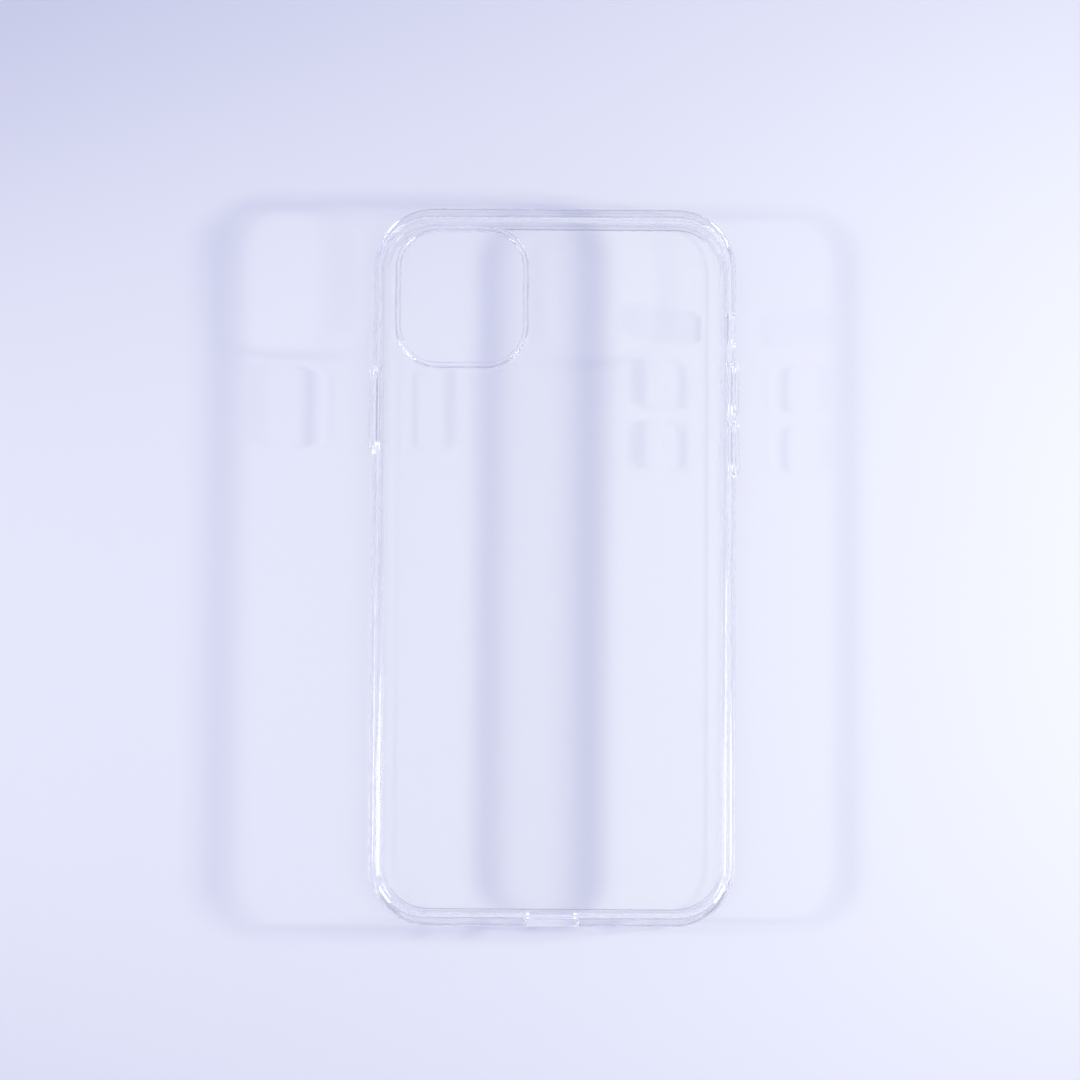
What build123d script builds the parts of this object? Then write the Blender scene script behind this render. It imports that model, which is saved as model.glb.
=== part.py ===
"""Clear slim case for a 6.1-inch phone: soft frame, hard back panel, camera rim, three button covers.

Millimetres. The case lies on its front lip with the outside of its back up: +Z is the outward
normal of the back, +Y points to the camera end, and the origin is the middle of the footprint.
"""

from build123d import *
import os

# The phone that the case is made for, and the slack it has in the pocket.
PHONE_WIDTH = 75.7
PHONE_LENGTH = 150.9
PHONE_THICKNESS = 8.3
FIT_GAP = 0.1

# Soft frame: walls, front lip and rounded edges.
SIDE_WALL = 1.4
END_WALL = 2.1
CASE_CORNER_RADIUS = 13.0
POCKET_CORNER_RADIUS = 11.4
LIP_THICKNESS = 1.1
LIP_OVERHANG = 1.5
LIP_EDGE_RADIUS = 0.35
FRONT_EDGE_RADIUS = 0.9
BACK_EDGE_RADIUS = 3.2
POCKET_FRONT_RADIUS = 0.9
POCKET_BACK_RADIUS = 1.8

# Hard back panel, held by a tongue round its edge that sits in a groove of the frame.
PANEL_THICKNESS = 1.2
PANEL_INSET = 3.7
TONGUE_THICKNESS = 0.6
TONGUE_WIDTH = 1.2
JOINT_GAP = 0.02

# Shallow round mark that the mould's gate leaves on the panel's inner face.
GATE_X = -3.1
GATE_Y = 1.7
GATE_RADIUS = 2.2
GATE_DEPTH = 0.12

# Raised rim round the camera opening, with a groove that grips the edge of the panel.
CAMERA_X = -20.1
CAMERA_FROM_TOP = 19.8
CAMERA_WIDTH = 26.4
CAMERA_LENGTH = 28.6
CAMERA_CORNER_RADIUS = 8.0
RIM_NECK = 0.7
RIM_BEAD = 1.2
RIM_FLANGE = 1.4
RIM_HEIGHT = 0.9
RIM_OUTER_ROUND = 0.6
RIM_INNER_ROUND = 0.45

# Button covers: a pad in a window of the side wall, on a thin skirt that stands for the web
# of soft plastic round it. Distances are from the outer end of the camera side.
POWER_FROM_TOP = 44.0
POWER_LENGTH = 18.0
VOLUME_UP_FROM_TOP = 39.0
VOLUME_DOWN_FROM_TOP = 52.0
VOLUME_LENGTH = 11.0
PAD_HEIGHT = 3.4
PAD_PROUD = 0.9
PAD_ROUND = 0.55
PAD_LEVEL = 5.3
PAD_GAP = 0.12
SKIRT_WIDTH = 0.6
SKIRT_SKIN = 0.55
SKIRT_GAP = 0.05
SKIRT_THICKNESS = 0.35

# Cut-outs right through the walls, with their outer edges rounded.
MUTE_FROM_TOP = 26.0
MUTE_LENGTH = 7.0
MUTE_HEIGHT = 4.6
MUTE_LEVEL = 4.85
MUTE_CORNER_RADIUS = 1.2
PORT_WIDTH = 12.0
PORT_HEIGHT = 5.0
PORT_LEVEL = 4.8
PORT_CORNER_RADIUS = 1.8
CUT_EDGE_ROUND = 0.25

# Worked out from the above.
POCKET_WIDTH = PHONE_WIDTH + 2 * FIT_GAP
POCKET_LENGTH = PHONE_LENGTH + 2 * FIT_GAP
CASE_WIDTH = POCKET_WIDTH + 2 * SIDE_WALL
CASE_LENGTH = POCKET_LENGTH + 2 * END_WALL
PANEL_BOTTOM = LIP_THICKNESS + PHONE_THICKNESS + 2 * FIT_GAP
BACK_LEVEL = PANEL_BOTTOM + PANEL_THICKNESS
STEP_LEVEL = PANEL_BOTTOM + TONGUE_THICKNESS
PANEL_WIDTH = CASE_WIDTH - 2 * PANEL_INSET
PANEL_LENGTH = CASE_LENGTH - 2 * PANEL_INSET
PANEL_CORNER_RADIUS = CASE_CORNER_RADIUS - PANEL_INSET
CAMERA_Y = CASE_LENGTH / 2 - CAMERA_FROM_TOP
PAD_SEAT = SKIRT_SKIN + SKIRT_GAP
CUT_MARGIN = 2.0
SEAT_MARGIN = 0.3
TOLERANCE = 0.01
LEFT, RIGHT = -1, 1

COVERS = {
    "power_button_cover": (LEFT, POWER_FROM_TOP, POWER_LENGTH),
    "volume_up_cover": (RIGHT, VOLUME_UP_FROM_TOP, VOLUME_LENGTH),
    "volume_down_cover": (RIGHT, VOLUME_DOWN_FROM_TOP, VOLUME_LENGTH),
}


def slab(width, length, corner_radius, low, high):
    """A rounded rectangle about the Z axis, from one level to another."""
    return Pos(0, 0, low) * extrude(RectangleRounded(width, length, corner_radius), high - low)


def rounded(block, low_radius, high_radius):
    """The block with the edges of its lowest and highest faces rounded."""
    block = fillet(block.edges().group_by(Axis.Z)[0], low_radius)
    return fillet(block.edges().group_by(Axis.Z)[-1], high_radius)


def camera_slab(margin, low, high):
    """The camera opening's outline, grown by a margin, from one level to another."""
    width, length = CAMERA_WIDTH + 2 * margin, CAMERA_LENGTH + 2 * margin
    return Pos(CAMERA_X, CAMERA_Y, 0) * slab(width, length, CAMERA_CORNER_RADIUS + margin, low, high)


def side_plane(side, from_top, level, depth):
    """A plane facing out of a side wall, at a depth below its outer face."""
    origin = (side * (CASE_WIDTH / 2 - depth), CASE_LENGTH / 2 - from_top, level)
    return Plane(origin=origin, x_dir=(0, 1, 0), z_dir=(side, 0, 0))


def cover_slot(side, from_top, length, grow, outer_depth, inner_depth):
    """A stadium as long as a button cover, grown all round, between two depths in a side wall."""
    outline = SlotOverall(length + 2 * grow, PAD_HEIGHT + 2 * grow)
    plane = side_plane(side, from_top, PAD_LEVEL, inner_depth)
    return extrude(plane * outline, inner_depth - outer_depth)


def button_cover(side, from_top, length):
    """A proud pad with a rounded face, on a thin skirt that is wider all round."""
    pad = cover_slot(side, from_top, length, 0, -PAD_PROUD, PAD_SEAT)
    face = pad.faces().sort_by(Axis.X)[0 if side == LEFT else -1]
    pad = fillet(face.edges(), PAD_ROUND)
    return pad + cover_slot(side, from_top, length, SKIRT_WIDTH, PAD_SEAT, PAD_SEAT + SKIRT_THICKNESS)


def cover_seat(side, from_top, length):
    """What a button cover takes out of the side wall: a window, and a wider recess inside."""
    window = cover_slot(side, from_top, length, PAD_GAP, -CUT_MARGIN, SIDE_WALL)
    grow = SKIRT_WIDTH + PAD_GAP
    return window + cover_slot(side, from_top, length, grow, SKIRT_SKIN, SIDE_WALL + SEAT_MARGIN)


def mute_cut():
    """The window for the phone's mute switch."""
    plane = side_plane(RIGHT, MUTE_FROM_TOP, MUTE_LEVEL, SIDE_WALL + CUT_MARGIN)
    outline = RectangleRounded(MUTE_LENGTH, MUTE_HEIGHT, MUTE_CORNER_RADIUS)
    return extrude(plane * outline, SIDE_WALL + 2 * CUT_MARGIN)


def port_cut():
    """The window for the charging plug, in the middle of the end opposite the camera."""
    origin = (0, CUT_MARGIN + END_WALL - CASE_LENGTH / 2, PORT_LEVEL)
    plane = Plane(origin=origin, x_dir=(1, 0, 0), z_dir=(0, -1, 0))
    outline = RectangleRounded(PORT_WIDTH, PORT_HEIGHT, PORT_CORNER_RADIUS)
    return extrude(plane * outline, END_WALL + 2 * CUT_MARGIN)


def shared_edges(shape, cutter, axis, place):
    """Edges of a shape that a cutter made in a flat face across an axis."""
    box = cutter.bounding_box()
    edges = shape.edges().filter_by_position(axis, place - TOLERANCE, place + TOLERANCE)
    other = Axis.Y if axis == Axis.X else Axis.X
    low, high = (box.min.Y, box.max.Y) if axis == Axis.X else (box.min.X, box.max.X)
    edges = edges.filter_by_position(other, low - TOLERANCE, high + TOLERANCE)
    return edges.filter_by_position(Axis.Z, box.min.Z - TOLERANCE, box.max.Z + TOLERANCE)


def panel_body(gap):
    """The back panel's outside without its camera opening, grown all round by a gap."""
    width, length = PANEL_WIDTH + 2 * gap, PANEL_LENGTH + 2 * gap
    radius = PANEL_CORNER_RADIUS + gap
    face = slab(width, length, radius, STEP_LEVEL, BACK_LEVEL)
    width, length, radius = width + 2 * TONGUE_WIDTH, length + 2 * TONGUE_WIDTH, radius + TONGUE_WIDTH
    return face + slab(width, length, radius, PANEL_BOTTOM - gap, STEP_LEVEL + gap)


def back_panel():
    """Hard plate with a tongue round its edge, a stepped camera opening and a gate mark."""
    panel = panel_body(0)
    panel -= Pos(GATE_X, GATE_Y, PANEL_BOTTOM) * Cylinder(GATE_RADIUS, 2 * GATE_DEPTH)
    panel -= camera_slab(RIM_FLANGE + JOINT_GAP, PANEL_BOTTOM - CUT_MARGIN, STEP_LEVEL)
    return panel - camera_slab(RIM_NECK + JOINT_GAP, STEP_LEVEL, BACK_LEVEL + CUT_MARGIN)


def on_opening(edge):
    """Whether an edge lies on the camera opening's own outline."""
    middle = edge.position_at(0.5)
    across, along = abs(middle.X - CAMERA_X), abs(middle.Y - CAMERA_Y)
    return across <= CAMERA_WIDTH / 2 + TOLERANCE and along <= CAMERA_LENGTH / 2 + TOLERANCE


def camera_rim():
    """Closed ring round the camera opening: bead outside, neck through the panel, flange inside."""
    bead_bottom = BACK_LEVEL + JOINT_GAP
    bead = camera_slab(RIM_BEAD, bead_bottom, BACK_LEVEL + RIM_HEIGHT)
    bead = fillet(bead.edges().group_by(Axis.Z)[-1], RIM_OUTER_ROUND)
    neck = camera_slab(RIM_NECK, PANEL_BOTTOM, bead_bottom)
    flange = camera_slab(RIM_FLANGE, PANEL_BOTTOM, STEP_LEVEL - JOINT_GAP)
    rim = bead + neck + flange
    rim -= camera_slab(0, PANEL_BOTTOM - CUT_MARGIN, BACK_LEVEL + CUT_MARGIN)
    return fillet(rim.edges().group_by(Axis.Z)[-1].filter_by(on_opening), RIM_INNER_ROUND)


def frame_shell():
    """Rounded walls and front lip round the phone's pocket, with the groove for the panel."""
    shell = slab(CASE_WIDTH, CASE_LENGTH, CASE_CORNER_RADIUS, 0, BACK_LEVEL)
    shell = rounded(shell, FRONT_EDGE_RADIUS, BACK_EDGE_RADIUS)
    pocket = slab(POCKET_WIDTH, POCKET_LENGTH, POCKET_CORNER_RADIUS, LIP_THICKNESS, PANEL_BOTTOM)
    shell -= rounded(pocket, POCKET_FRONT_RADIUS, POCKET_BACK_RADIUS)
    shell -= panel_body(JOINT_GAP)
    mouth_width, mouth_length = POCKET_WIDTH - 2 * LIP_OVERHANG, POCKET_LENGTH - 2 * LIP_OVERHANG
    mouth_radius = POCKET_CORNER_RADIUS - LIP_OVERHANG
    shell -= slab(mouth_width, mouth_length, mouth_radius, -CUT_MARGIN, PANEL_BOTTOM)
    lip_edges = [edge for edge in shell.edges() if on_mouth(edge, mouth_width, mouth_length)]
    return fillet(lip_edges, LIP_EDGE_RADIUS)


def on_mouth(edge, width, length):
    """Whether an edge lies on the lip's inner outline, at the lip's front or its pocket side."""
    middle = edge.position_at(0.5)
    inside = abs(middle.X) <= width / 2 + TOLERANCE and abs(middle.Y) <= length / 2 + TOLERANCE
    flat = abs(edge.position_at(0).Z - edge.position_at(1).Z) <= TOLERANCE
    return inside and flat and middle.Z <= LIP_THICKNESS + TOLERANCE


def bumper_frame():
    """Soft frame with its button windows and cut-outs."""
    frame = frame_shell()
    for cover in COVERS.values():
        frame -= cover_seat(*cover)
    mute, port = mute_cut(), port_cut()
    frame = frame - mute - port
    frame = fillet(shared_edges(frame, mute, Axis.X, CASE_WIDTH / 2), CUT_EDGE_ROUND)
    return fillet(shared_edges(frame, port, Axis.Y, -CASE_LENGTH / 2), CUT_EDGE_ROUND)


def main():
    os.makedirs("parts", exist_ok=True)
    nodes = {"bumper_frame": bumper_frame(), "back_panel": back_panel(), "camera_rim": camera_rim()}
    nodes |= {name: button_cover(*cover) for name, cover in COVERS.items()}
    for name, node in nodes.items():
        export_step(node, f"parts/{name}.step")


main()
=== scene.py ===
"""Looks of the clear phone case: colourless glossy plastic on a pale lavender floor, seen from above."""

import math

import bpy
from mathutils import Matrix, Vector

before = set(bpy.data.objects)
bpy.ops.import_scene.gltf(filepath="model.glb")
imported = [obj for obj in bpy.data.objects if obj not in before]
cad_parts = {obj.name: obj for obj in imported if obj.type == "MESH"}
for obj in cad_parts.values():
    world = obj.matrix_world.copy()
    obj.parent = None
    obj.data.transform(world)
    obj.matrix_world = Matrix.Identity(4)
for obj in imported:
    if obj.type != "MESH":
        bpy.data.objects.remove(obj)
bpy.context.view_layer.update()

# Camera: almost straight down, from a little towards the charging end. Metres and degrees.
CAMERA_DISTANCE = 0.75
CAMERA_ELEVATION = 85.5
CAMERA_ROLL = 0.35
VIEW_CENTRE = Vector((-0.0029, 0.0060, 0.0))
VIEW_WIDTH = 0.2358
SENSOR_WIDTH = 36.0

# Two key spots throw the long side shadows: place, aim, the cone's breadth and height in degrees,
# radius, power in watts. They don't show in the gloss.
KEY_COLOUR = (1.0, 1.0, 0.66)
KEYS = {
    "key_left": ((-0.80, -0.020, 0.309), (0.0, -0.022, 0.0), (26.0, 26.0), 0.025, 15.4),
    "key_right": ((0.534, -0.010, 0.164), (0.0, 0.014, 0.0), (76.0, 29.0), 0.015, 11.0),
}

# Lamps that show only in the gloss: streaks on the side walls, glints on the corners. Place, size
# and power in watts.
GLOSS_COLOUR = (1.0, 1.0, 1.0)
GLOSS_LAMPS = {
    "softbox_left": ((-0.40, -0.085, 0.40), (0.14, 0.30), 0.85),
    "softbox_right": ((0.38, -0.047, 0.42), (0.166, 0.10), 0.35),
    "kicker_left": ((-0.58, -0.44, 0.34), (0.22, 0.22), 9.0),
    "kicker_right": ((0.58, -0.40, 0.34), (0.22, 0.22), 9.0),
}

# Light dome: radiance away from and towards its bright side, and in the patch overhead.
DOME_DIM = (0.28, 0.29, 0.44)
DOME_BRIGHT = (0.74, 0.75, 1.04)
DOME_TILT = Vector((0.45, -0.89, 0.0))
ZENITH_COLOUR = (0.84, 0.86, 0.98)
ZENITH_START, ZENITH_FULL = 0.90, 0.965

# Light may bounce this often inside the plastic before it is given up.
LIGHT_BOUNCES = 96

# The two plastics: tint, index of refraction, how strong the ripple is, and how much lamp light the
# rounded side edges and a glance lose and the upright walls gather.
SOFT = {"tint": (0.992, 0.994, 0.998), "ior": 1.50, "ripple": 0.0004, "losses": (0.7, 0.3, 0.08)}
HARD = {"tint": (0.994, 0.995, 0.998), "ior": 1.58, "ripple": 0.001, "losses": (0.4, 0.1, 0.0)}

# Share of light that each plain surface of the plastic lets through to the floor.
LIGHT_KEPT = 0.98

# Roughness varies over patches, and the ripple is wider: noise scale and detail. The roughness
# spreads between two levels of its noise. The ripple's height is in metres.
ROUGH_NOISE = (90.0, 4.0)
ROUGH_LEVELS = (0.3, 0.7)
RIPPLE_NOISE = (60.0, 1.0)
RIPPLE_HEIGHT = 0.0005

# Roughness and shine of plain and of polished plastic.
PLAIN_GLOSS = {"rough": (0.01, 0.05), "shine": 0.5}
POLISHED_GLOSS = {"rough": (0.02, 0.06), "shine": 1.0}

# Painted shade: colours that darken the plastic in thin strokes along rounded edges, standing in for the
# dark edges that their refraction and shadow draw.
LIP_PAINTED_SHADE = (0.30, 0.30, 0.38)
RIM_PAINTED_SHADE = (0.78, 0.78, 0.86)
PANEL_PAINTED_SHADE = (0.62, 0.62, 0.72)

# Where edges begin and end, in metres: the height at which the frame's foot and its lip end, and the
# place along the case where its outer edge at the charging end is left behind.
FOOT_TOP = (0.0019, 0.0022)
LIP_TOP = (0.0011, 0.0013)
CHARGING_EDGE = (-0.0758, -0.0752)

# A rounding's share of up times its share of sideways peaks at a quarter, so this makes it one.
EDGE_PEAK = 4.0

# How sharply the glance and the upright walls set in.
GLANCE_POWER = 3.0
WALL_POWER = 8.0

FLOOR_SIZE = 6.0
FLOOR_DROP = 0.00005
FLOOR_COLOUR = (0.80, 0.81, 0.92)


def new_material(name):
    """An empty node material and its output node."""
    material = bpy.data.materials.new(name)
    material.use_nodes = True
    nodes = material.node_tree.nodes
    nodes.clear()
    return material, nodes.new("ShaderNodeOutputMaterial")


def add(tree, kind, **settings):
    """A node of a kind, with properties and input sockets set by name."""
    node = tree.nodes.new(kind)
    for key, value in settings.items():
        if key in node.bl_rna.properties:
            setattr(node, key, value)
        else:
            node.inputs[key.replace("_", " ")].default_value = value
    return node


def feed(tree, sockets, values):
    """Give each socket its value: a link from another socket, or a number."""
    for socket, value in zip(sockets, values):
        if isinstance(value, (int, float)):
            socket.default_value = value
        else:
            tree.links.new(value, socket)


def maths(tree, operation, first, second):
    """A Math node of two values, each a socket or a number."""
    node = add(tree, "ShaderNodeMath", operation=operation)
    feed(tree, node.inputs, (first, second))
    return node.outputs[0]


def ranged(tree, value, low, high, to_low, to_high):
    """A value carried smoothly from one range to another, and held at its ends."""
    node = add(tree, "ShaderNodeMapRange", interpolation_type="SMOOTHSTEP")
    feed(tree, node.inputs, (value, low, high, to_low, to_high))
    return node.outputs["Result"]


def noise(tree, place, scale, detail):
    """A noise value between 0 and 1 at a place."""
    node = add(tree, "ShaderNodeTexNoise", Scale=scale, Detail=detail)
    tree.links.new(place, node.inputs["Vector"])
    return node.outputs["Fac"]


def mixed(tree, share, first, second):
    """A colour between two, each a socket or a colour."""
    node = add(tree, "ShaderNodeMix", data_type="RGBA")
    sockets = {socket.identifier: socket for socket in node.inputs}
    tree.links.new(share, sockets["Factor_Float"])
    for socket, colour in ((sockets["A_Color"], first), (sockets["B_Color"], second)):
        if isinstance(colour, tuple):
            socket.default_value = (*colour, 1)
        else:
            tree.links.new(colour, socket)
    return next(socket for socket in node.outputs if socket.identifier == "Result_Color")


class Edges:
    """Where a surface is flat, upright or rounded, from its own normal and place."""

    def __init__(self, tree):
        self.tree = tree
        normal = self.split("ShaderNodeNewGeometry", "True Normal")
        place = self.split("ShaderNodeTexCoord", "Object")
        self.across = self.product(normal["X"], normal["X"])
        self.along = self.product(normal["Y"], normal["Y"])
        self.up = self.product(normal["Z"], normal["Z"])
        self.level = maths(tree, "SUBTRACT", 1.0, self.up)
        self.above_foot = ranged(tree, place["Z"], *FOOT_TOP, 0.0, 1.0)
        self.lip = ranged(tree, place["Z"], *LIP_TOP, 1.0, 0.0)
        self.inward = ranged(tree, place["Y"], *CHARGING_EDGE, 0.0, 1.0)

    def split(self, kind, output):
        """The three parts of a vector that a kind of node gives."""
        node = self.tree.nodes.new("ShaderNodeSeparateXYZ")
        self.tree.links.new(self.tree.nodes.new(kind).outputs[output], node.inputs[0])
        return node.outputs

    def product(self, *values):
        """All the values multiplied."""
        result = values[0]
        for value in values[1:]:
            result = maths(self.tree, "MULTIPLY", result, value)
        return result

    def lip_ends(self):
        """The lip's rounded edges along the two ends, but not the charging end's outer edge."""
        return self.product(self.up, self.along, self.lip, self.inward, EDGE_PEAK)

    def sides(self):
        """The rounded edges along the two sides of the case, above its foot."""
        return self.product(self.up, self.across, self.above_foot, EDGE_PEAK)

    def every(self):
        """Every rounded edge."""
        return self.product(self.up, self.level, EDGE_PEAK)


def lamp_share(edges, edge_loss, glance_loss, wall_gain):
    """Share of the lamps' light that passes a surface on its way to the floor.

    Rounded edges along the sides bend it away, a glance loses some, and upright walls gather a little.
    """
    tree = edges.tree
    facing = tree.nodes.new("ShaderNodeLayerWeight").outputs["Facing"]
    glance = edges.product(maths(tree, "POWER", facing, GLANCE_POWER), glance_loss)
    wall = edges.product(maths(tree, "POWER", edges.level, WALL_POWER), wall_gain)
    bent = edges.product(edges.sides(), edge_loss)
    gathered = maths(tree, "ADD", LIGHT_KEPT, wall)
    return maths(tree, "SUBTRACT", gathered, maths(tree, "ADD", glance, bent))


def glossy_body(tree, edges, tint, ior, ripple, rough, shine, lines, line_tint):
    """The plastic as the eye sees it: clear, a little uneven, with painted shade darkening some rounded
    edges.
    """
    body = add(tree, "ShaderNodeBsdfPrincipled", Transmission_Weight=1.0, IOR=ior, Specular_IOR_Level=shine)
    # Painted shade: the colour turns darker along the chosen rounded edges, in place of refraction and
    # shadow.
    tree.links.new(mixed(tree, lines(edges), tint, line_tint), body.inputs["Base Color"])
    place = tree.nodes.new("ShaderNodeTexCoord").outputs["Object"]
    unevenness = ranged(tree, noise(tree, place, *ROUGH_NOISE), *ROUGH_LEVELS, *rough)
    tree.links.new(unevenness, body.inputs["Roughness"])
    bump = add(tree, "ShaderNodeBump", Strength=ripple, Distance=RIPPLE_HEIGHT)
    tree.links.new(noise(tree, place, *RIPPLE_NOISE), bump.inputs["Height"])
    tree.links.new(bump.outputs["Normal"], body.inputs["Normal"])
    return body.outputs[0]


def clear_plastic(name, losses, **look):
    """Glossy clear plastic that lets the dome's and the lamps' light through to the floor."""
    material, output = new_material(name)
    tree = material.node_tree
    edges = Edges(tree)
    surface = glossy_body(tree, edges, **look)
    dome = add(tree, "ShaderNodeBsdfTransparent", Color=(LIGHT_KEPT, LIGHT_KEPT, LIGHT_KEPT, 1))
    lamps = tree.nodes.new("ShaderNodeBsdfTransparent")
    tree.links.new(lamp_share(edges, *losses), lamps.inputs["Color"])
    path = tree.nodes.new("ShaderNodeLightPath")
    for ray, through in (("Is Diffuse Ray", dome), ("Is Shadow Ray", lamps)):
        mix = tree.nodes.new("ShaderNodeMixShader")
        feed(tree, mix.inputs, (path.outputs[ray], surface, through.outputs[0]))
        surface = mix.outputs[0]
    tree.links.new(surface, output.inputs["Surface"])
    return material


def assign(node, material):
    """Give an object one material."""
    node.data.materials.clear()
    node.data.materials.append(material)


def dress_case():
    """Soft plastic on the frame and the covers, polished on the rim, and hard plastic on the panel."""
    # Painted shade goes on the lip's ends of the soft plastic, and on every rounded edge of the rim and the
    # panel.
    soft = clear_plastic("clear_soft", lines=Edges.lip_ends, line_tint=LIP_PAINTED_SHADE, **SOFT, **PLAIN_GLOSS)
    rim = clear_plastic("clear_soft_rim", lines=Edges.every, line_tint=RIM_PAINTED_SHADE, **SOFT, **POLISHED_GLOSS)
    hard = clear_plastic("clear_hard", lines=Edges.every, line_tint=PANEL_PAINTED_SHADE, **HARD, **PLAIN_GLOSS)
    for name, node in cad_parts.items():
        assign(node, {"back_panel": hard, "camera_rim": rim}.get(name, soft))


def make_floor():
    """The plain pale floor that the case lies on."""
    bpy.ops.mesh.primitive_plane_add(size=FLOOR_SIZE)
    floor = bpy.context.object
    floor.name = "floor"
    floor.location.z = -FLOOR_DROP
    material, output = new_material("floor_pale")
    tree = material.node_tree
    body = add(tree, "ShaderNodeBsdfPrincipled", Base_Color=(*FLOOR_COLOUR, 1), Specular_IOR_Level=0.0)
    tree.links.new(body.outputs[0], output.inputs["Surface"])
    assign(floor, material)


def add_lamp(name, kind, place, aim, power, colour):
    """A lamp of a kind at a place, turned to an aim."""
    data = bpy.data.lights.new(name, kind)
    data.energy = power
    data.color = colour
    lamp = bpy.data.objects.new(name, data)
    bpy.context.collection.objects.link(lamp)
    lamp.location = place
    lamp.rotation_euler = (Vector(aim) - Vector(place)).to_track_quat("-Z", "Y").to_euler()
    return lamp


def make_lights():
    """The key spots, and the lamps that only the gloss shows."""
    for name, (place, aim, cone, radius, power) in KEYS.items():
        breadth, height = (math.radians(angle) for angle in cone)
        lamp = add_lamp(name, "SPOT", place, aim, power, KEY_COLOUR)
        lamp.data.spot_size = breadth
        lamp.data.spot_blend = 1.0
        lamp.data.shadow_soft_size = radius
        lamp.scale.y = math.tan(height / 2) / math.tan(breadth / 2)
        lamp.visible_glossy = False
        lamp.visible_transmission = False
    for name, (place, size, power) in GLOSS_LAMPS.items():
        lamp = add_lamp(name, "AREA", place, (0, 0, 0), power, GLOSS_COLOUR)
        lamp.data.shape = "RECTANGLE"
        lamp.data.size, lamp.data.size_y = size
        lamp.visible_diffuse = False


def make_dome():
    """Soft light from all round, brighter from one side and in a patch overhead."""
    world = bpy.data.worlds.new("studio")
    bpy.context.scene.world = world
    world.use_nodes = True
    world.cycles.sampling_method = "NONE"
    tree = world.node_tree
    direction = tree.nodes.new("ShaderNodeTexCoord").outputs["Generated"]
    split = tree.nodes.new("ShaderNodeSeparateXYZ")
    tree.links.new(direction, split.inputs[0])
    tilt = add(tree, "ShaderNodeVectorMath", operation="DOT_PRODUCT")
    tree.links.new(direction, tilt.inputs[0])
    tilt.inputs[1].default_value = DOME_TILT
    side = mixed(tree, ranged(tree, tilt.outputs["Value"], -1.0, 1.0, 0.0, 1.0), DOME_DIM, DOME_BRIGHT)
    zenith = ranged(tree, split.outputs["Z"], ZENITH_START, ZENITH_FULL, 0.0, 1.0)
    tree.links.new(mixed(tree, zenith, side, ZENITH_COLOUR), tree.nodes["Background"].inputs["Color"])


def allow_bounces():
    """Enough bounces for light that is caught between the walls to come out again."""
    cycles = bpy.context.scene.cycles
    cycles.max_bounces = LIGHT_BOUNCES
    cycles.transmission_bounces = LIGHT_BOUNCES
    cycles.glossy_bounces = LIGHT_BOUNCES
    cycles.transparent_max_bounces = LIGHT_BOUNCES


def make_camera():
    """The camera, and the neutral view that keeps the floor's pale colour."""
    data = bpy.data.cameras.new("camera")
    data.sensor_width = SENSOR_WIDTH
    data.lens = SENSOR_WIDTH * CAMERA_DISTANCE / VIEW_WIDTH
    camera = bpy.data.objects.new("camera", data)
    bpy.context.collection.objects.link(camera)
    elevation = math.radians(CAMERA_ELEVATION)
    back = Vector((0, -math.cos(elevation), math.sin(elevation)))
    camera.rotation_mode = "QUATERNION"
    look = (-back).to_track_quat("-Z", "Y")
    roll = Matrix.Rotation(math.radians(CAMERA_ROLL), 3, back).to_quaternion()
    camera.rotation_quaternion = roll @ look
    camera.location = VIEW_CENTRE + back * CAMERA_DISTANCE
    bpy.context.scene.camera = camera
    bpy.context.scene.view_settings.view_transform = "Standard"


dress_case()
make_floor()
make_lights()
make_dome()
allow_bounces()
make_camera()
